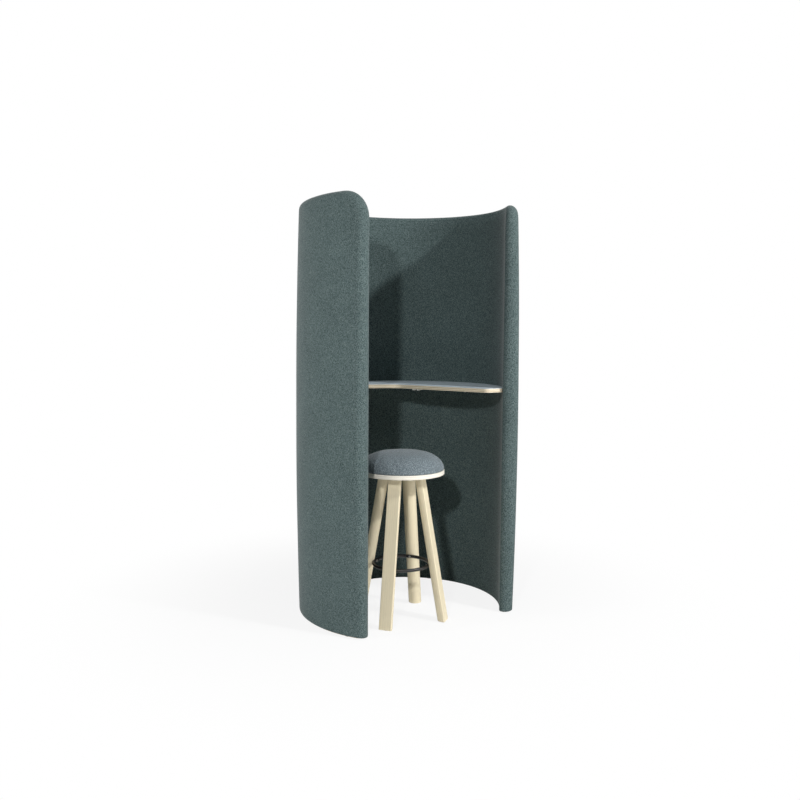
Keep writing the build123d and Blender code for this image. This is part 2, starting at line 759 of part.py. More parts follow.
# Cushion: a full dome, flush with the disc's edge, with steep sides that draw in to the top
with BuildPart() as seat_cushion:
    with BuildSketch(radial_section(stool_centre, 0)):
        with BuildLine():
            dome = Bezier(
                (seat_radius, disc_top),
                (seat_radius, disc_top + cushion_side_pull),
                (cushion_top_pull, disc_top + cushion_height),
                (0, disc_top + cushion_height),
            )
            Polyline(dome @ 1, (0, disc_top), dome @ 0)
        make_face()
    revolve(axis=Axis(stool_centre, (0, 0, 1)))
    with BuildSketch(Plane.XY.offset(disc_top)):
        with Locations(stool_centre):
            Circle(cushion_base_radius + seat_clearance)
    extrude(amount=cushion_base_thickness + seat_clearance, mode=Mode.SUBTRACT)
keep(seat_cushion, "seat_cushion")

with BuildPart() as cushion_screws:
    with BuildSketch(Plane.XY.offset(seat_height_to_disc)):
        with Locations(cushion_screw_places):
            Circle(cushion_screw_head_radius)
    extrude(amount=-cushion_screw_head_height)
    with BuildSketch(Plane.XY.offset(seat_height_to_disc)):
        with Locations(cushion_screw_places):
            Circle(cushion_screw_radius)
    extrude(amount=seat_disc_thickness + cushion_base_thickness - seat_clearance)
keep(cushion_screws, "cushion_screws")

# Legs: solid timber, flat on the outside and half round on the inside, leaning in to the seat
leg_length = seat_height_to_disc / math.cos(math.radians(leg_splay))
for name, angle in leg_angles.items():
    out = direction(angle)
    lean = Vector(0, 0, 1) * math.cos(math.radians(leg_splay)) - out * math.sin(math.radians(leg_splay))
    leg_plane = Plane(stool_centre + out * leg_foot_radius, x_dir=(-out.Y, out.X, 0), z_dir=lean)
    with BuildPart() as leg:
        with BuildSketch(leg_plane.offset(-leg_depth)) as section:
            with BuildLine():
                Polyline(
                    (-leg_width / 2, leg_depth - leg_width / 2),
                    (-leg_width / 2, 0),
                    (leg_width / 2, 0),
                    (leg_width / 2, leg_depth - leg_width / 2),
                )
                ThreePointArc(
                    (leg_width / 2, leg_depth - leg_width / 2),
                    (0, leg_depth),
                    (-leg_width / 2, leg_depth - leg_width / 2),
                )
            make_face()
            fillet(section.vertices().group_by(Axis.Y)[0], leg_corner_round)
        extrude(amount=leg_length + 2 * leg_depth)
        split(bisect_by=Plane.XY.offset(seat_height_to_disc), keep=Keep.BOTTOM)
        split(bisect_by=Plane.XY.offset(stool_glide_height), keep=Keep.TOP)
        with BuildSketch(Plane.XY.offset(seat_height_to_disc)):
            with Locations(leg_bolt_places):
                Circle(leg_bolt_radius + screw_clearance)
        extrude(amount=seat_disc_thickness - leg_bolt_length, mode=Mode.SUBTRACT)
        with BuildSketch(facing_plane(stool_centre, angle, ring_radius)):
            with Locations((0, ring_height)):
                Circle(ring_screw_radius + screw_clearance)
        extrude(amount=ring_seat + ring_screw_bite, mode=Mode.SUBTRACT)
    keep(leg, f"leg_{name}")

with BuildPart() as leg_bolts:
    with BuildSketch(Plane.XY.offset(disc_top - leg_bolt_head_height)):
        with Locations(leg_bolt_places):
            Circle(leg_bolt_head_radius)
    extrude(amount=leg_bolt_head_height - seat_clearance)
    with BuildSketch(Plane.XY.offset(disc_top - leg_bolt_head_height)):
        with Locations(leg_bolt_places):
            Circle(leg_bolt_radius)
    extrude(amount=leg_bolt_head_height - leg_bolt_length + screw_clearance)
keep(leg_bolts, "leg_bolts")

# Footrest ring: a round steel rod inside the legs, pressed flat inside and outside at each leg and
# drilled there for one screw
with BuildPart() as footrest_ring:
    with BuildSketch(radial_section(stool_centre, 0)):
        with Locations((ring_radius, ring_height)):
            Circle(ring_rod_radius)
    revolve(axis=Axis(stool_centre, (0, 0, 1)))
    for angle in leg_angles.values():
        with BuildSketch(facing_plane(stool_centre, angle, ring_radius + ring_seat)):
            with Locations((0, ring_height)):
                Rectangle(ring_flat_width, 2 * ring_rod_radius)
        extrude(amount=overrun, mode=Mode.SUBTRACT)
        with BuildSketch(facing_plane(stool_centre, angle, ring_radius - ring_seat)):
            with Locations((0, ring_height)):
                Rectangle(ring_flat_width, 2 * ring_rod_radius)
        extrude(amount=-overrun, mode=Mode.SUBTRACT)
        with BuildSketch(facing_plane(stool_centre, angle, ring_radius - ring_seat)):
            with Locations((0, ring_height)):
                Circle(ring_screw_radius + screw_clearance)
        extrude(amount=2 * ring_seat, mode=Mode.SUBTRACT)
keep(footrest_ring, "footrest_ring")

with BuildPart() as ring_screws:
    for angle in leg_angles.values():
        head_seat = ring_radius - ring_seat
        with BuildSketch(facing_plane(stool_centre, angle, head_seat)):
            with Locations((0, ring_height)):
                Circle(ring_screw_head_radius)
        extrude(amount=-ring_screw_head_height)
        with BuildSketch(facing_plane(stool_centre, angle, head_seat)):
            with Locations((0, ring_height)):
                Circle(ring_screw_radius)
        extrude(amount=2 * ring_seat + ring_screw_bite - screw_clearance)
keep(ring_screws, "ring_screws")

# Stool glides: a disc under the middle of each foot
glide_circle = leg_foot_radius - leg_depth / 2
with BuildPart() as stool_glides:
    with BuildSketch():
        with Locations([stool_centre + direction(angle) * glide_circle for angle in leg_angles.values()]):
            Circle(stool_glide_radius)
    extrude(amount=stool_glide_height)
keep(stool_glides, "stool_glides")
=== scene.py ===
import math

import bmesh
import bpy
from mathutils import Matrix, Vector, noise


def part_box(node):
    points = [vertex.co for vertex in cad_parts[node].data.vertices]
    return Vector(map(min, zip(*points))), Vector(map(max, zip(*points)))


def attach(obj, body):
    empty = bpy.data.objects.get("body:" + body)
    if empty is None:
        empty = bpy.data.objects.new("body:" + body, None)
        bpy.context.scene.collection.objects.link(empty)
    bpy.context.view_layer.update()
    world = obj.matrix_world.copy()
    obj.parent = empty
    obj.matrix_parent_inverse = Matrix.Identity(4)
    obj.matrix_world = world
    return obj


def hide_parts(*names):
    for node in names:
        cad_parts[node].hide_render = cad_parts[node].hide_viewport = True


bl_info = {
    "name": "Acoustic workstation",
    "version": (1, 0, 0),
    "blender": (4, 5, 0),
    "location": "View3D > Sidebar > Workstation",
    "description": "Upholstery, timber and studio for a round acoustic workstation and its stool",
    "category": "Add Mesh",
}

MM = 0.001

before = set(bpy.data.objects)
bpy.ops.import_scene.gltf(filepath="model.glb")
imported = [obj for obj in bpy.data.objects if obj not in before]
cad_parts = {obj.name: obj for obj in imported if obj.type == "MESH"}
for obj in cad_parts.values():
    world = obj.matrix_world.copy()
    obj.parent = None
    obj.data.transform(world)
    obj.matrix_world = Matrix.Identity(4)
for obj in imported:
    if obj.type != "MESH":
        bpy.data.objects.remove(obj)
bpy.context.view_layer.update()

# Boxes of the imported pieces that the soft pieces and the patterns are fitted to. The halves of the
# wall meet near x = 0, and the outer skins' back lies their own radius behind the wall's axis.
cover_low, cover_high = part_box("right_wall_cover")
skin_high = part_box("right_outer_skin")[1]
board_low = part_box("worktop_board")[0]
seat_low, seat_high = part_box("seat_disc")
cushion_low, cushion_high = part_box("seat_cushion")
base_low, base_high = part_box("cushion_base")
wall_axis = Vector((0, skin_high.y - skin_high.x, 0))
seat_axis = (seat_low + seat_high) / 2


def paint(code):
    """Linear colour of an sRGB hex value."""
    shares = [int(code[i : i + 2], 16) / 255 for i in (0, 2, 4)]
    return tuple(s / 12.92 if s <= 0.04045 else ((s + 0.055) / 1.055) ** 2.4 for s in shares)


class WallUpholstery(bpy.types.PropertyGroup):
    """Sizes of the padded wall."""

    inner_radius: bpy.props.FloatProperty(
        name="Inner radius",
        description="Radius of the wall's inner face",
        default=447 * MM,
        unit="LENGTH",
    )
    foot_radius: bpy.props.FloatProperty(
        name="Foot radius",
        description="Outer radius at the foot",
        default=507.5 * MM,
        unit="LENGTH",
    )
    middle_radius: bpy.props.FloatProperty(
        name="Middle radius",
        description="Outer radius half way up",
        default=519.5 * MM,
        unit="LENGTH",
    )
    top_radius: bpy.props.FloatProperty(
        name="Top radius",
        description="Outer radius at the top",
        default=503 * MM,
        unit="LENGTH",
    )
    opening: bpy.props.FloatProperty(
        name="Opening",
        description="Angle between the two wing ends",
        default=math.radians(98.6),
        subtype="ANGLE",
    )
    corner_radius: bpy.props.FloatProperty(
        name="Wing corner",
        description="Radius of the wing's upper corner",
        default=112 * MM,
        unit="LENGTH",
    )
    outer_round: bpy.props.FloatProperty(
        name="Outer round",
        description="Softness of the outer edge",
        default=33 * MM,
        unit="LENGTH",
    )
    inner_round: bpy.props.FloatProperty(
        name="Inner round",
        description="Softness of the inner edge",
        default=15 * MM,
        unit="LENGTH",
    )
    crest: bpy.props.FloatProperty(
        name="Crest",
        description="Depth of the edge's highest line, as a share of the thickness",
        default=0.65,
    )
    corner_swell: bpy.props.FloatProperty(
        name="Corner swell",
        description="Extra padding over the wing's upper corner",
        default=4.5 * MM,
        unit="LENGTH",
    )
    seam_depth: bpy.props.FloatProperty(
        name="Seam depth",
        description="Depth of the seam along the inner edge",
        default=1.6 * MM,
        unit="LENGTH",
    )
    unevenness: bpy.props.FloatProperty(
        name="Unevenness",
        description="Hand-upholstered rise and fall of the faces",
        default=0.6 * MM,
        unit="LENGTH",
    )


class SeatUpholstery(bpy.types.PropertyGroup):
    """Sizes of the seat cushion."""

    side_pull: bpy.props.FloatProperty(
        name="Side pull",
        description="Steepness of the cushion's side",
        default=58 * MM,
        unit="LENGTH",
    )
    top_pull: bpy.props.FloatProperty(
        name="Top pull",
        description="Flatness of the cushion's crown",
        default=150 * MM,
        unit="LENGTH",
    )
    slack: bpy.props.FloatProperty(
        name="Slack",
        description="How much smaller the cushion is before it is filled",
        default=1 * MM,
        unit="LENGTH",
    )
    swell_limit: bpy.props.FloatProperty(
        name="Swell limit",
        description="How far the filling may push the cloth",
        default=5 * MM,
        unit="LENGTH",
    )
    air: bpy.props.FloatProperty(
        name="Air",
        description="Pressure of the filling",
        default=4.0,
    )


class Colours(bpy.types.PropertyGroup):
    """Colours that a buyer would choose."""

    wall_dark: bpy.props.FloatVectorProperty(
        name="Wall dark yarn",
        description="Darkest fibre of the wall's cloth",
        subtype="COLOR",
        default=paint("334141"),
    )
    wall_mid: bpy.props.FloatVectorProperty(
        name="Wall yarn",
        description="Main fibre of the wall's cloth",
        subtype="COLOR",
        default=paint("4d5d5d"),
    )
    wall_light: bpy.props.FloatVectorProperty(
        name="Wall light yarn",
        description="Palest fibre of the wall's cloth",
        subtype="COLOR",
        default=paint("687675"),
    )
    seat_dark: bpy.props.FloatVectorProperty(
        name="Seat dark yarn",
        description="Darkest fibre of the seat's cloth",
        subtype="COLOR",
        default=paint("566065"),
    )
    seat_mid: bpy.props.FloatVectorProperty(
        name="Seat yarn",
        description="Main fibre of the seat's cloth",
        subtype="COLOR",
        default=paint("636f74"),
    )
    seat_light: bpy.props.FloatVectorProperty(
        name="Seat light yarn",
        description="Palest fibre of the seat's cloth",
        subtype="COLOR",
        default=paint("889297"),
    )
    surface: bpy.props.FloatVectorProperty(
        name="Worktop surface",
        description="Linoleum of the worktop",
        subtype="COLOR",
        default=paint("b2bec6"),
    )
    ash: bpy.props.FloatVectorProperty(
        name="Ash",
        description="Pale wood of the legs",
        subtype="COLOR",
        default=paint("efe3c4"),
    )
    birch: bpy.props.FloatVectorProperty(
        name="Birch",
        description="Face of the worktop's plywood",
        subtype="COLOR",
        default=paint("e8dcc4"),
    )


def add_node(tree, kind, inputs=None, **settings):
    """Adds one node with its settings. Each input is a value, or the socket that feeds it."""
    node = tree.nodes.new(kind)
    for name, value in settings.items():
        setattr(node, name, value)
    for name, source in (inputs or {}).items():
        if isinstance(source, bpy.types.NodeSocket):
            tree.links.new(source, node.inputs[name])
        else:
            node.inputs[name].default_value = source
    return node


def object_place(tree):
    """Place on the object, in metres."""
    return add_node(tree, "ShaderNodeTexCoord").outputs["Object"]


def noise_pattern(tree, place, size, detail, roughness):
    """Soft noise whose clouds are about one size across, from 0 to 1."""
    inputs = {"Vector": place, "Scale": 1 / size, "Detail": detail, "Roughness": roughness}
    return add_node(tree, "ShaderNodeTexNoise", inputs).outputs["Fac"]


def remap(tree, value, start, end, low, high, **settings):
    """Stretches a value, so that start becomes low and end becomes high."""
    inputs = {"Value": value, "From Min": start, "From Max": end, "To Min": low, "To Max": high}
    return add_node(tree, "ShaderNodeMapRange", inputs, **settings).outputs["Result"]


def calculate(tree, operation, *inputs):
    """Result of one calculation with numbers."""
    node = add_node(tree, "ShaderNodeMath", dict(enumerate(inputs)), operation=operation)
    return node.outputs[0]


def scaled(tree, place, scale):
    """A place stretched along its axes."""
    return add_node(tree, "ShaderNodeMapping", {"Vector": place, "Scale": scale}).outputs["Vector"]


def colour_ramp(tree, factor, stops):
    """Colour from a ramp whose stops are each a place and a linear colour."""
    node = add_node(tree, "ShaderNodeValToRGB", {"Fac": factor})
    band = node.color_ramp
    while len(band.elements) < len(stops):
        band.elements.new(1.0)
    for element, (place, colour) in zip(band.elements, stops):
        element.position = place
        element.color = (*colour, 1)
    return node.outputs["Color"]


def mix_values(tree, factor, first, second):
    """Mix of two numbers."""
    inputs = {"Factor": factor, "A": first, "B": second}
    return add_node(tree, "ShaderNodeMix", inputs, data_type="FLOAT").outputs["Result"]


def mix_colours(tree, factor, first, second, way="MIX"):
    """Mix of two colours. The mix node keeps its colours in these numbered sockets."""
    inputs = {0: factor, 6: first, 7: second}
    return add_node(tree, "ShaderNodeMix", inputs, data_type="RGBA", blend_type=way).outputs[2]


def relief(tree, height, strength, depth):
    """Direction of a surface with a fine relief of this depth."""
    inputs = {"Height": height, "Strength": strength, "Distance": depth}
    return add_node(tree, "ShaderNodeBump", inputs).outputs["Normal"]


def shade(colour, factor):
    """A lighter or darker linear colour."""
    return tuple(min(1.0, c * factor) for c in colour)


def new_material(name):
    """An empty node material and its tree."""
    material = bpy.data.materials.new(name)
    material.use_nodes = True
    material.node_tree.nodes.clear()
    return material, material.node_tree


def set_surface(tree, inputs):
    """Ends a material with its surface shader."""
    surface = add_node(tree, "ShaderNodeBsdfPrincipled", inputs)
    add_node(tree, "ShaderNodeOutputMaterial", {"Surface": surface.outputs["BSDF"]})


def woven_wool(name, dark, middle, light):
    """Melange wool, spun from fibres of three shades, woven and lightly felted. The eye gets a soft
    mottle of light and dark flecks, no shine, and a pale bloom where the cloth turns away.
    The yarns are about 1 mm apart. That is too fine to show, so the flecks are drawn 3.5 mm wide,
    and upright ones a little longer, as the warp runs."""
    warp_stretch = (1, 1, 0.62)
    material, tree = new_material(name)
    place = object_place(tree)
    warp = scaled(tree, place, warp_stretch)
    flecks = noise_pattern(tree, warp, 3.5 * MM, detail=2, roughness=0.7)
    fibres = noise_pattern(tree, warp, 1.6 * MM, detail=1, roughness=0.5)
    cloud = noise_pattern(tree, place, 160 * MM, detail=2, roughness=0.5)
    mottle = mix_values(tree, 0.3, flecks, fibres)
    yarn = colour_ramp(tree, mottle, [(0.41, dark), (0.5, middle), (0.59, light)])
    evenness = remap(tree, cloud, 0.3, 0.7, 0.95, 1.05)
    set_surface(
        tree,
        {
            "Base Color": mix_colours(tree, 1.0, yarn, evenness, "MULTIPLY"),
            "Normal": relief(tree, mottle, 0.45, 0.9 * MM),
            "Roughness": 0.92,
            "Specular IOR Level": 0.25,
            "Sheen Weight": 0.15,
            "Sheen Roughness": 0.4,
        },
    )
    return material


def planed_wood(
    name, colour, grain_axis, contrast, ring_gap=7 * MM, roughness=0.5, centre=(0, 0, 0)
):
    """Planed timber under clear matt lacquer. The eye gets growth rings as soft lines along the
    grain, which runs along grain_axis, and short open pores between them. Pores are 0.3 mm wide,
    too fine to show, so they are drawn about 1 mm wide."""
    grain_stretch = (1, 1, 0.035)
    wave_length = 0.314  # of the wave pattern at a scale of 1, in metres
    material, tree = new_material(name)
    from_centre = add_node(
        tree, "ShaderNodeVectorMath", {0: object_place(tree), 1: centre}, operation="SUBTRACT"
    )
    turn = Vector((0, 0, 1)).rotation_difference(Vector(grain_axis)).inverted().to_euler()
    along = add_node(
        tree, "ShaderNodeMapping", {"Vector": from_centre.outputs[0], "Rotation": turn}
    )
    grain = scaled(tree, along.outputs["Vector"], grain_stretch)
    sway = noise_pattern(tree, grain, 45 * MM, detail=2, roughness=0.5)
    rings = add_node(
        tree,
        "ShaderNodeTexWave",
        {
            "Vector": grain,
            "Scale": wave_length / ring_gap,
            "Distortion": 5.0,
            "Detail": 2.0,
            "Detail Scale": 0.6,
            "Detail Roughness": 0.55,
        },
        wave_type="BANDS",
        bands_direction="X",
        wave_profile="SAW",
    )
    pores = noise_pattern(tree, grain, 1.1 * MM, detail=2, roughness=0.7)
    open_pores = remap(tree, pores, 0.56, 0.72, 0.0, 1.0)
    late_wood = shade(colour, 1 - contrast)
    ring_tone = colour_ramp(
        tree,
        rings.outputs["Fac"],
        [(0.0, shade(colour, 1.04)), (0.6, colour), (0.9, late_wood), (1.0, colour)],
    )
    swayed = mix_colours(tree, sway, ring_tone, (*shade(colour, 1 - 0.9 * contrast), 1))
    pored = mix_colours(tree, open_pores, swayed, (*shade(colour, 1 - 1.8 * contrast), 1))
    set_surface(
        tree,
        {
            "Base Color": pored,
            "Normal": relief(tree, open_pores, 0.15, 0.2 * MM),
            "Roughness": roughness,
            "IOR": 1.5,
            "Specular IOR Level": 0.35,
        },
    )
    return material


def layered_plywood(name, face, bottom, ply_gap, contrast, grain_axis=(1, 0, 0)):
    """Plywood, pressed from veneers with crossing grain and sawn to shape, under clear matt
    lacquer. Faces show quiet grain. The sawn edge shows pale plies and, every ply_gap upwards from
    bottom, a thin darker one whose end grain has soaked up the lacquer."""
    ply_sway = 0.2
    end_grain_warmth = (1, 1.15, 1.4)
    grain_stretch = tuple(0.04 if along else 1.0 for along in grain_axis)
    material, tree = new_material(name)
    place = object_place(tree)
    height = add_node(tree, "ShaderNodeSeparateXYZ", {"Vector": place}).outputs["Z"]
    level = remap(tree, height, bottom, bottom + ply_gap, 0.0, 1.0, clamp=False)
    wander = noise_pattern(tree, place, 70 * MM, detail=1, roughness=0.5)
    bent_level = calculate(tree, "MULTIPLY_ADD", wander, ply_sway, level)
    ply = calculate(tree, "PINGPONG", bent_level, 0.5)
    dark_ply = remap(tree, ply, 0.33, 0.42, 0.0, 1.0)
    facing = add_node(tree, "ShaderNodeNewGeometry").outputs["Normal"]
    upward = add_node(tree, "ShaderNodeSeparateXYZ", {"Vector": facing}).outputs["Z"]
    edge = remap(tree, calculate(tree, "ABSOLUTE", upward), 0.4, 0.8, 1.0, 0.0)
    grain = noise_pattern(
        tree, scaled(tree, place, grain_stretch), 3.5 * MM, detail=3, roughness=0.6
    )
    face_tone = colour_ramp(
        tree, grain, [(0.3, shade(face, 0.93)), (0.55, face), (0.75, shade(face, 1.04))]
    )
    specks = noise_pattern(tree, place, 1.4 * MM, detail=1, roughness=0.5)
    end_grain = tuple(c * (1 - warmth * contrast) for c, warmth in zip(face, end_grain_warmth))
    ply_tone = colour_ramp(tree, specks, [(0.35, shade(end_grain, 0.85)), (0.65, end_grain)])
    set_surface(
        tree,
        {
            "Base Color": mix_colours(
                tree, calculate(tree, "MULTIPLY", dark_ply, edge), face_tone, ply_tone
            ),
            "Normal": relief(tree, grain, 0.12, 0.3 * MM),
            "Roughness": 0.48,
            "IOR": 1.5,
            "Specular IOR Level": 0.35,
        },
    )
    return material


def calendered_linoleum(name, colour):
    """Furniture linoleum, calendered from linseed oil and cork flour. It is matt and even, with a
    faint cloud of fine specks about 2 mm across and a soft, low sheen."""
    material, tree = new_material(name)
    place = object_place(tree)
    specks = noise_pattern(tree, place, 2.2 * MM, detail=2, roughness=0.6)
    cloud = noise_pattern(tree, place, 90 * MM, detail=2, roughness=0.5)
    tone = colour_ramp(
        tree,
        mix_values(tree, 0.45, specks, cloud),
        [(0.35, shade(colour, 0.9)), (0.5, colour), (0.65, shade(colour, 1.08))],
    )
    set_surface(
        tree,
        {
            "Base Color": tone,
            "Normal": relief(tree, specks, 0.1, 0.15 * MM),
            "Roughness": remap(tree, cloud, 0.3, 0.7, 0.5, 0.62),
            "IOR": 1.48,
            "Specular IOR Level": 0.4,
        },
    )
    return material


def fine_skin(name, colour, metallic, roughness, grit, depth):
    """Powder coat sprayed and baked, zinc plated in a bath, or nylon from a blasted mould. All have
    an even skin with a fine grain, whose real size is the grit and whose depth is given. The eye
    gets a soft highlight that the grain breaks up a little."""
    variation = 0.08
    material, tree = new_material(name)
    grain = noise_pattern(tree, object_place(tree), grit, detail=2, roughness=0.6)
    set_surface(
        tree,
        {
            "Base Color": colour_ramp(
                tree,
                grain,
                [(0.3, shade(colour, 1 - variation)), (0.7, shade(colour, 1 + variation))],
            ),
            "Normal": relief(tree, grain, 0.25, depth),
            "Roughness": remap(tree, grain, 0.3, 0.7, roughness * 0.9, roughness * 1.12),
            "Metallic": metallic,
        },
    )
    return material


def dress(material, *names):
    """Puts one material on carried-over pieces."""
    for name in names:
        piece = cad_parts[name]
        piece.data.materials.clear()
        piece.data.materials.append(material)


def steps(start, end, count):
    """Evenly spaced values with both ends."""
    return [start + (end - start) * i / count for i in range(count + 1)]


def ease(value):
    """Smooth step from 0 to 1."""
    value = min(max(value, 0), 1)
    return value * value * (3 - 2 * value)


def finished_object(name, mesh):
    """Object with the mesh that was built."""
    data = bpy.data.meshes.new(name)
    mesh.to_mesh(data)
    mesh.free()
    piece = bpy.data.objects.new(name, data)
    bpy.context.collection.objects.link(piece)
    return piece


def soften(piece):
    """Rounds a soft piece between its mesh points."""
    for face in piece.data.polygons:
        face.use_smooth = True
    curve = piece.modifiers.new("Soft curve", "SUBSURF")
    curve.levels = curve.render_levels = 1


class PaddedHalf:
    """Grid of points over one half of the wall. Its columns run from the wing's end, round the
    wing's upper corner and on to the joint at the back. Its rows run up from the foot: level ones
    to a shoulder below the corner, and rising ones that follow the corner and the rim."""

    shoulder_drop = 60 * MM  # of the shoulder below the corner
    foot_tuck = 0.18  # share of an inset that the foot takes, since the cloth runs under it
    joint_tuck = 0.08  # share of an inset that the joint takes, where the halves meet tightly
    swell_rise = 1.4  # how soon the swell reaches its height round the corner
    swell_end = 0.3  # share of the turn over which the swell fades out along the rim

    def __init__(self, sizes):
        self.sizes = sizes
        self.low = cover_low.z
        self.high = cover_high.z
        self.end_angle = sizes.opening / 2 - math.pi / 2
        self.joint_gap = cover_low.x
        self.shoulder = self.high - sizes.corner_radius - self.shoulder_drop
        turns = [0.02, 0.05] + steps(0.085, 0.965, 30) + [0.982, 0.993, 1.0]
        self.columns = [("corner", angle) for angle in steps(0, math.pi / 2, 12)]
        self.columns += [("turn", share) for share in turns]
        levels = [0, 0.007, 0.02, 0.045] + steps(0.08, 1.0, 40)
        self.rows = [("level", share) for share in levels]
        self.rows += [("rise", share) for share in steps(0.1, 1.0, 9)]

    def outer_radius(self, height):
        """Radius of the crowned outer face."""
        sizes = self.sizes
        rise = 2 * (height - self.low) / (self.high - self.low) - 1
        bend = (sizes.top_radius + sizes.foot_radius) / 2 - sizes.middle_radius
        lean = (sizes.top_radius - sizes.foot_radius) / 2
        return sizes.middle_radius + lean * rise + bend * rise * rise

    def swell(self, column, row):
        """How far the padding swells beyond the edge at a grid point: most at the top of the wing's
        upper corner, fading out down the wing and along the rim."""
        if row < len(self.rows) - 1:
            return 0.0
        kind, value = self.columns[column]
        if kind == "corner":
            share = ease(value / (math.pi / 2) * self.swell_rise)
        else:
            share = 1 - ease(value / self.swell_end)
        return self.sizes.corner_swell * share

    def outline(self, column, row, inset):
        """Column and height of a grid point, pulled in from the edges of the half by an inset. In
        the corner the column becomes a distance from the wing's end."""
        corner = self.sizes.corner_radius
        kind, value = self.columns[column]
        if kind == "corner":
            along = (kind, inset + (corner - inset) * (1 - math.cos(value)))
            top = self.high - corner + (corner - inset) * math.sin(value)
        else:
            along = (kind, value)
            top = self.high - inset
        kind, value = self.rows[row]
        low = self.low + inset * self.foot_tuck
        if kind == "level":
            height = low + (self.shoulder - low) * value
        else:
            height = self.shoulder + (top - self.shoulder) * value
        return along, height

    def place(self, along, height, radius, inset):
        """Point of the right half."""
        kind, value = along
        if kind == "corner":
            angle = self.end_angle + math.asin(value / radius)
        else:
            start = self.end_angle + math.asin(self.sizes.corner_radius / radius)
            finish = math.acos((self.joint_gap + inset * self.joint_tuck) / radius)
            angle = start + (finish - start) * value
        return wall_axis + Vector((radius * math.cos(angle), radius * math.sin(angle), height))

    def rim(self):
        """Grid points round the half: up the wing, along the rim, down the joint, back along the
        foot."""
        last_column, last_row = len(self.columns) - 1, len(self.rows) - 1
        wing = [(0, row) for row in range(last_row + 1)]
        top = [(column, last_row) for column in range(1, last_column + 1)]
        joint = [(last_column, row) for row in range(last_row - 1, -1, -1)]
        foot = [(column, 0) for column in range(last_column - 1, 0, -1)]
        return wing + top + joint + foot


def edge_section(sizes, thickness):
    """Cross-section of the edge, from the outer face over the crest to the inner face: inset from
    the edge and depth below the outer face. A long soft curve outside, a tight one at the inner
    seam."""
    outer, inner = sizes.outer_round, sizes.inner_round
    crest = thickness * sizes.crest
    rest = thickness - crest
    path = [
        (outer * (1 - math.sin(angle)), crest * (1 - math.cos(angle)))
        for angle in steps(0, math.pi / 2, 8)
    ]
    path += [
        (inner * (1 - math.sin(angle)), thickness - rest * (1 - math.cos(angle)))
        for angle in steps(math.pi / 2, 0, 7)[1:]
    ]
    return path


def padded_half(side, sizes):
    """One padded half: crowned outer face, soft edge, inner face and the seam between."""
    seam_gap = 3 * MM
    waves = 3.1  # of the hand-upholstered unevenness, in a metre
    face_shift = Vector((0, 0, 7))  # gives the outer face an unevenness of its own
    half = PaddedHalf(sizes)
    rim = half.rim()
    mesh = bmesh.new()

    def vertex(column, row, inset, depth=0.0, inside=False, sink=0.0):
        """Mesh point at a share of the depth, or sunk behind the inner face."""
        along, height = half.outline(column, row, inset)
        outer = half.outer_radius(height)
        radius = sizes.inner_radius if inside else outer - (outer - sizes.inner_radius) * depth
        point = half.place(along, height, radius + sink, inset)
        rise = noise.noise(point * waves + (Vector() if inside else face_shift))
        out = (point - wall_axis).xy.normalized()
        point += Vector((out.x, out.y, 0)) * rise * sizes.unevenness
        if side == "left":
            point.x = -point.x
        return mesh.verts.new(point)

    def panel(inset, inside):
        """Mesh points and faces over a whole face."""
        grid = [
            [vertex(column, row, inset, inside=inside) for row in range(len(half.rows))]
            for column in range(len(half.columns))
        ]
        for first, second in zip(grid, grid[1:]):
            for row in range(len(half.rows) - 1):
                mesh.faces.new((first[row], second[row], second[row + 1], first[row + 1]))
        return grid

    seam = [(sizes.inner_round + seam_gap * i, sunk) for i, sunk in ((1, 0), (2, 1), (3, 0))]
    outer_grid = panel(sizes.outer_round, inside=False)
    inner_grid = panel(seam[-1][0] + seam_gap, inside=True)
    thickness = sizes.middle_radius - sizes.inner_radius
    loops = [[outer_grid[c][r] for c, r in rim]]
    for inset, depth in edge_section(sizes, thickness)[1:]:
        share = depth / thickness
        crown = 1 - (2 * share - 1) ** 2
        loops.append([vertex(c, r, inset - crown * half.swell(c, r), share) for c, r in rim])
    for inset, sunk in seam:
        sink = sunk * sizes.seam_depth
        loops.append([vertex(c, r, inset, inside=True, sink=sink) for c, r in rim])
    loops.append([inner_grid[c][r] for c, r in rim])
    for first, second in zip(loops, loops[1:]):
        for i in range(len(rim)):
            j = (i + 1) % len(rim)
            mesh.faces.new((first[i], first[j], second[j], second[i]))
    bmesh.ops.recalc_face_normals(mesh, faces=mesh.faces)
    cover = finished_object(f"{side}_wall_upholstery", mesh)
    soften(cover)
    return cover


def bezier(points, share):
    """Point on a cubic curve in the plane."""
    rest = 1 - share
    weights = (rest**3, 3 * rest**2 * share, 3 * rest * share**2, share**3)
    return tuple(sum(w * p[i] for w, p in zip(weights, points)) for i in range(2))


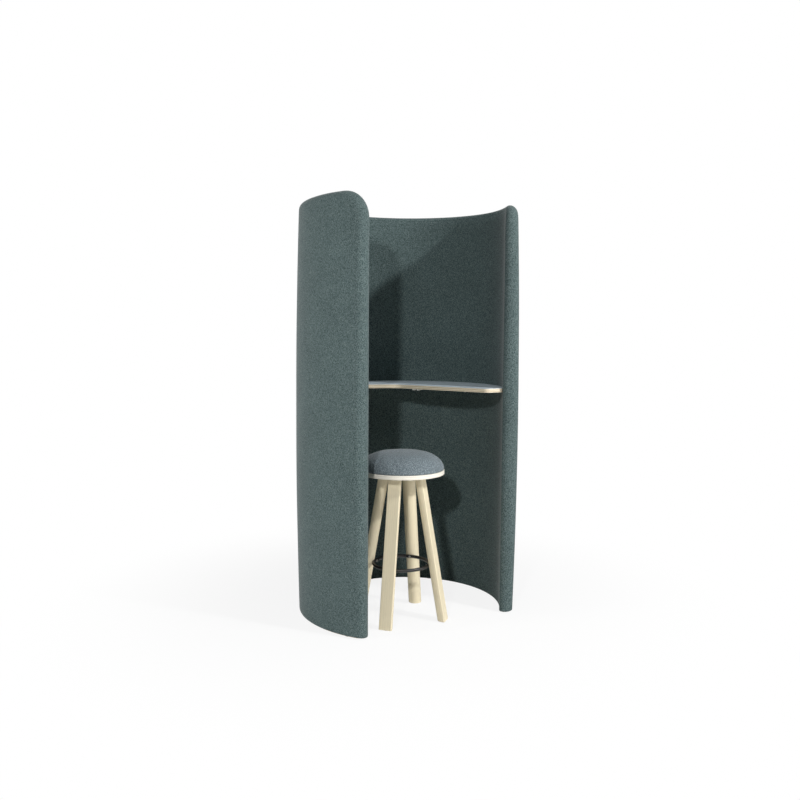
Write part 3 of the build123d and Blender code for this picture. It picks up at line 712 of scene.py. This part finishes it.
def cushion_shell(name, sizes):
    """Closed skin of the unfilled cushion: the hollow that the base board fills, rim and dome."""
    spokes = 72
    base_clearance = 1 * MM
    on_axis = 1e-6
    radius = cushion_high.x - seat_axis.x - sizes.slack
    height = cushion_high.z - cushion_low.z - sizes.slack
    hollow = base_high.x - seat_axis.x + base_clearance
    ceiling = base_high.z - base_low.z + base_clearance
    dome = [(radius, 0), (radius, sizes.side_pull), (sizes.top_pull, height), (0, height)]
    profile = [(0, ceiling), (hollow * 0.5, ceiling), (hollow, ceiling), (hollow, 0)]
    profile += [bezier(dome, share) for share in steps(0, 1, 22)]
    mesh = bmesh.new()

    def ring(reach, rise):
        """Mesh points round the seat's axis, or the one point on it."""
        turns = [0.0] if reach < on_axis else [math.tau * i / spokes for i in range(spokes)]
        points = [
            (seat_axis.x + reach * math.cos(turn), seat_axis.y + reach * math.sin(turn))
            for turn in turns
        ]
        return [mesh.verts.new((x, y, cushion_low.z + rise)) for x, y in points]

    rings = [ring(reach, rise) for reach, rise in profile]
    for first, second in zip(rings, rings[1:]):
        for i in range(spokes):
            j = (i + 1) % spokes
            if len(first) == 1:
                mesh.faces.new((first[0], second[i], second[j]))
            elif len(second) == 1:
                mesh.faces.new((first[i], second[0], first[j]))
            else:
                mesh.faces.new((first[i], second[i], second[j], first[j]))
    bmesh.ops.recalc_face_normals(mesh, faces=mesh.faces)
    return finished_object(name, mesh)


def applied(piece):
    """The piece's mesh with its modifiers applied."""
    graph = bpy.context.evaluated_depsgraph_get()
    return bpy.data.meshes.new_from_object(piece.evaluated_get(graph))


def fill_with_air(shell, sizes):
    """Fills the cushion by cloth simulation, with its lower edge held on the base board, and keeps
    the cloth within the swell limit of where it was cut."""
    cloth_grid = 5 * MM
    held_lip = 4 * MM
    held_side = 4 * MM
    held_height = 6 * MM
    last_step = 20
    remesh = shell.modifiers.new("Even cloth", "REMESH")
    remesh.mode = "VOXEL"
    remesh.voxel_size = cloth_grid
    shell.data = applied(shell)
    shell.modifiers.clear()
    held = shell.vertex_groups.new(name="held")
    lip = cushion_low.z + held_lip
    hollow = base_high.x - seat_axis.x + held_side
    for vertex in shell.data.vertices:
        reach = (vertex.co.xy - seat_axis.xy).length
        inside = reach < hollow and vertex.co.z < base_high.z + held_height
        if inside or vertex.co.z < lip:
            held.add([vertex.index], 1.0, "REPLACE")
    cloth = shell.modifiers.new("Filling", "CLOTH")
    cloth.settings.quality = 6
    cloth.settings.use_pressure = True
    cloth.settings.uniform_pressure_force = sizes.air
    cloth.settings.effector_weights.gravity = 0
    cloth.settings.vertex_group_mass = held.name
    cloth.point_cache.frame_start = 1
    cloth.point_cache.frame_end = last_step
    scene = bpy.context.scene
    for step in range(1, last_step + 1):
        scene.frame_set(step)
    filled = applied(shell)
    scene.frame_set(1)
    shell.modifiers.clear()
    for vertex, swollen in zip(shell.data.vertices, filled.vertices):
        move = swollen.co - vertex.co
        if move.length > sizes.swell_limit:
            move = move.normalized() * sizes.swell_limit
        vertex.co += move
    bpy.data.meshes.remove(filled)
    shell.vertex_groups.clear()
    soften(shell)


class WORKSTATION_OT_wall(bpy.types.Operator):
    """Upholsters both halves of the wall"""

    bl_idname = "workstation.wall"
    bl_label = "Wall upholstery"

    def execute(self, context):
        sizes = context.scene.wall_upholstery
        colours = context.scene.workstation_colours
        wool = woven_wool(
            "Melange wool, woven, wall", colours.wall_dark, colours.wall_mid, colours.wall_light
        )
        for side in ("left", "right"):
            cover = padded_half(side, sizes)
            cover.data.materials.append(wool)
            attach(cover, "wall")
            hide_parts(f"{side}_wall_cover")
        return {"FINISHED"}


class WORKSTATION_OT_seat(bpy.types.Operator):
    """Sews and fills the seat cushion"""

    bl_idname = "workstation.seat"
    bl_label = "Seat cushion"

    def execute(self, context):
        sizes = context.scene.seat_upholstery
        colours = context.scene.workstation_colours
        cushion = cushion_shell("seat_upholstery", sizes)
        fill_with_air(cushion, sizes)
        wool = woven_wool(
            "Melange wool, woven, seat", colours.seat_dark, colours.seat_mid, colours.seat_light
        )
        cushion.data.materials.append(wool)
        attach(cushion, "stool")
        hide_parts("seat_cushion")
        return {"FINISHED"}


class WORKSTATION_OT_worktop(bpy.types.Operator):
    """Finishes the worktop, its arms and its hanger"""

    bl_idname = "workstation.worktop"
    bl_label = "Worktop"

    def execute(self, context):
        colours = context.scene.workstation_colours
        board = layered_plywood(
            "Birch plywood, lacquered, worktop",
            colours.birch,
            bottom=board_low.z + 1.5 * MM,
            ply_gap=7.4 * MM,
            contrast=0.6,
        )
        arms = fine_skin(
            "Steel, black powder coat, arms",
            paint("26272a"),
            metallic=0.0,
            roughness=0.46,
            grit=0.7 * MM,
            depth=0.08 * MM,
        )
        hanger = fine_skin(
            "Steel, white powder coat",
            paint("e9e9e4"),
            metallic=0.0,
            roughness=0.4,
            grit=0.6 * MM,
            depth=0.05 * MM,
        )
        dress(board, "worktop_board")
        dress(calendered_linoleum("Linoleum, calendered", colours.surface), "worktop_surface")
        dress(arms, *(f"support_arm_{number}" for number in range(1, 5)))
        dress(hanger, "peg_hanger")
        return {"FINISHED"}


class WORKSTATION_OT_stool(bpy.types.Operator):
    """Finishes the stool's seat disc, legs and footrest ring"""

    bl_idname = "workstation.stool"
    bl_label = "Stool"

    def execute(self, context):
        leg_lean = math.tan(math.radians(10))
        colours = context.scene.workstation_colours
        disc = layered_plywood(
            "Birch plywood, lacquered, seat",
            paint("f3eee2"),
            bottom=seat_low.z + 1 * MM,
            ply_gap=8 * MM,
            contrast=0.14,
            grain_axis=(0, 1, 0),
        )
        dress(disc, "seat_disc")
        for name in ("front_right", "back_right", "back_left", "front_left"):
            low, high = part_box(f"leg_{name}")
            middle = (low + high) / 2
            foot = middle - seat_axis
            out = Vector((foot.x, foot.y, 0)).normalized()
            ash = planed_wood(
                f"Ash, planed and lacquered, {name}",
                colours.ash,
                (Vector((0, 0, 1)) - out * leg_lean).normalized(),
                contrast=0.1,
                centre=middle,
            )
            dress(ash, f"leg_{name}")
        ring = fine_skin(
            "Steel, black powder coat, ring",
            paint("0a0a0b"),
            metallic=0.0,
            roughness=0.42,
            grit=0.7 * MM,
            depth=0.05 * MM,
        )
        dress(ring, "footrest_ring")
        return {"FINISHED"}


class WORKSTATION_OT_inner_frame(bpy.types.Operator):
    """Finishes the frame inside the wall, the fixings and the glides"""

    bl_idname = "workstation.inner_frame"
    bl_label = "Frame, fixings and glides"

    def execute(self, context):
        sheet = layered_plywood(
            "Poplar plywood, sawn", paint("d9c19a"), bottom=0.0, ply_gap=3 * MM, contrast=0.25
        )
        timber = planed_wood(
            "Spruce, planed",
            paint("dcc39a"),
            (0, 0, 1),
            contrast=0.22,
            ring_gap=4 * MM,
            roughness=0.7,
        )
        zinc = fine_skin(
            "Steel, zinc plated",
            paint("c9c8c4"),
            metallic=1.0,
            roughness=0.36,
            grit=1.5 * MM,
            depth=0.02 * MM,
        )
        nylon = fine_skin(
            "Nylon, injection moulded",
            paint("2a2a2b"),
            metallic=0.0,
            roughness=0.55,
            grit=0.5 * MM,
            depth=0.03 * MM,
        )
        sheet_pieces = ("inner_skin", "outer_skin", "base_rib", "ribs", "table_rail")
        timber_pieces = ("end_post", "top_rail", "back_post")
        for side in ("left", "right"):
            dress(sheet, *(f"{side}_{piece}" for piece in sheet_pieces))
            dress(timber, *(f"{side}_{piece}" for piece in timber_pieces))
            dress(nylon, f"{side}_glides")
        dress(sheet, "cushion_base")
        dress(nylon, "stool_glides")
        dress(
            zinc,
            "joint_hook_plates",
            "joint_catch_plates",
            "joint_screws",
            "arm_bolts",
            "arm_nuts",
            "arm_screws",
            "hanger_screws",
            "cushion_screws",
            "leg_bolts",
            "ring_screws",
        )
        return {"FINISHED"}


# The camera stands 1.32 m high, in front of the wall and to the left of its opening, and looks
# slightly down. Its lens is given for a picture 800 pixels wide.
camera_place = wall_axis + Vector((-1.9309, -3.4990, 1.3245))
camera_heading = Vector((0.47578, 0.87957, 0)).normalized()
camera_pitch = math.radians(4.777)
camera_roll = math.radians(0.361)
sensor_width = 36
camera_lens = sensor_width * 850.99 / 800

# Lamps: name, degrees to the left of the camera's direction, degrees above level, width, length and
# power. The front and the right lamp are small and reach inside, where the right one draws the
# slanting shadow of the rim. The windows are large: they light the wall's outside softly, and the
# top one lights the worktop and the seat.
lamp_distance = 5.0
studio_lamps = [
    ("Front lamp", 10, 19, 0.2, 0.2, 80),
    ("Left window", 65, 10, 0.8, 0.8, 91),
    ("Right lamp", -58, 33, 0.3, 0.3, 155),
    ("Right window", -66, 13, 1.0, 1.6, 75),
    ("Back window", 135, 8, 1.6, 1.6, 20),
    ("Top window", 0, 87, 2.4, 2.4, 48),
]


def add_lamp(name, turn, height, width, length, power):
    """A soft lamp aimed at the object's middle."""
    aim = Vector((wall_axis.x, wall_axis.y, (cover_low.z + cover_high.z) / 2))
    level = Matrix.Rotation(-math.radians(turn), 3, "Z") @ -camera_heading
    rise = math.radians(height)
    back = level * math.cos(rise) + Vector((0, 0, math.sin(rise)))
    light = bpy.data.lights.new(name, "AREA")
    light.shape = "RECTANGLE"
    light.size, light.size_y = width, length
    light.energy = power
    lamp = bpy.data.objects.new(name, light)
    lamp.rotation_mode = "QUATERNION"
    lamp.rotation_quaternion = (-back).to_track_quat("-Z", "Y")
    lamp.location = aim + back * lamp_distance
    bpy.context.collection.objects.link(lamp)


def add_camera():
    """The camera, at the photograph's angle."""
    lens = bpy.data.cameras.new("Camera")
    lens.sensor_width = sensor_width
    lens.lens = camera_lens
    camera = bpy.data.objects.new("Camera", lens)
    bpy.context.collection.objects.link(camera)
    ahead = camera_heading * math.cos(camera_pitch) - Vector((0, 0, math.sin(camera_pitch)))
    side = Vector((camera_heading.y, -camera_heading.x, 0))
    above = side.cross(ahead)
    right = side * math.cos(camera_roll) + above * math.sin(camera_roll)
    up = above * math.cos(camera_roll) - side * math.sin(camera_roll)
    turn = Matrix((right, up, -ahead)).transposed().to_4x4()
    camera.matrix_world = Matrix.Translation(camera_place) @ turn
    return camera


def seen(tree):
    """1 where the camera sees the surface, also in or through another surface, and 0 where it only
    lights the object."""
    ray = add_node(tree, "ShaderNodeLightPath").outputs
    direct = calculate(tree, "MAXIMUM", ray["Is Camera Ray"], ray["Is Glossy Ray"])
    return calculate(tree, "MAXIMUM", direct, ray["Is Transmission Ray"])


def studio_paper():
    """Matt white paper. Where it is seen it is bright white, and only close to the object a share
    of the paper itself stays, so that the eye gets a faint shadow at the foot."""
    shadow_reach = (0.5, 1.8)
    nearest_white = 0.86
    material, tree = new_material("White studio floor")
    paper = add_node(tree, "ShaderNodeBsdfDiffuse", {"Color": (0.9, 0.9, 0.9, 1)})
    bright = add_node(tree, "ShaderNodeEmission", {"Color": (1, 1, 1, 1), "Strength": 1.0})
    reach = add_node(tree, "ShaderNodeVectorMath", {0: object_place(tree)}, operation="LENGTH")
    fade = remap(
        tree,
        reach.outputs["Value"],
        *shadow_reach,
        nearest_white,
        1.0,
        interpolation_type="SMOOTHSTEP",
    )
    mixed = add_node(
        tree,
        "ShaderNodeMixShader",
        {
            0: calculate(tree, "MULTIPLY", seen(tree), fade),
            1: paper.outputs["BSDF"],
            2: bright.outputs["Emission"],
        },
    )
    add_node(tree, "ShaderNodeOutputMaterial", {"Surface": mixed.outputs["Shader"]})
    return material


class WORKSTATION_OT_stage(bpy.types.Operator):
    """Sets up the floor, the white background, the lamps and the camera"""

    bl_idname = "workstation.stage"
    bl_label = "Studio"

    def execute(self, context):
        floor_radius = 18
        scene = context.scene
        mesh = bmesh.new()
        bmesh.ops.create_circle(mesh, cap_ends=True, segments=96, radius=floor_radius)
        floor = finished_object("studio_floor", mesh)
        floor.data.materials.append(studio_paper())

        # The white background is there to be seen: the lamps alone light the object.
        world = bpy.data.worlds.new("White studio")
        scene.world = world
        world.use_nodes = True
        tree = world.node_tree
        tree.nodes.clear()
        backdrop = add_node(
            tree, "ShaderNodeBackground", {"Color": (1, 1, 1, 1), "Strength": seen(tree)}
        )
        add_node(tree, "ShaderNodeOutputWorld", {"Surface": backdrop.outputs["Background"]})

        for lamp in studio_lamps:
            add_lamp(*lamp)
        scene.camera = add_camera()
        scene.view_settings.view_transform = "Standard"
        return {"FINISHED"}


class WORKSTATION_PT_panel(bpy.types.Panel):
    """Pieces of the workstation"""

    bl_idname = "WORKSTATION_PT_panel"
    bl_label = "Acoustic workstation"
    bl_space_type = "VIEW_3D"
    bl_region_type = "UI"
    bl_category = "Workstation"

    def draw(self, context):
        for step in making_steps:
            self.layout.operator(step)
        scene = context.scene
        groups = (scene.wall_upholstery, scene.seat_upholstery, scene.workstation_colours)
        for group in groups:
            box = self.layout.box()
            for name in group.__annotations__:
                box.prop(group, name)


making_steps = [
    "workstation.stage",
    "workstation.wall",
    "workstation.seat",
    "workstation.worktop",
    "workstation.stool",
    "workstation.inner_frame",
]

classes = (
    WallUpholstery,
    SeatUpholstery,
    Colours,
    WORKSTATION_OT_stage,
    WORKSTATION_OT_wall,
    WORKSTATION_OT_seat,
    WORKSTATION_OT_worktop,
    WORKSTATION_OT_stool,
    WORKSTATION_OT_inner_frame,
    WORKSTATION_PT_panel,
)


def register():
    for cls in classes:
        bpy.utils.register_class(cls)
    bpy.types.Scene.wall_upholstery = bpy.props.PointerProperty(type=WallUpholstery)
    bpy.types.Scene.seat_upholstery = bpy.props.PointerProperty(type=SeatUpholstery)
    bpy.types.Scene.workstation_colours = bpy.props.PointerProperty(type=Colours)


def unregister():
    del bpy.types.Scene.workstation_colours
    del bpy.types.Scene.seat_upholstery
    del bpy.types.Scene.wall_upholstery
    for cls in reversed(classes):
        bpy.utils.unregister_class(cls)


def main():
    register()
    for step in making_steps:
        group, name = step.split(".")
        getattr(getattr(bpy.ops, group), name)()


if __name__ == "__main__":
    main()
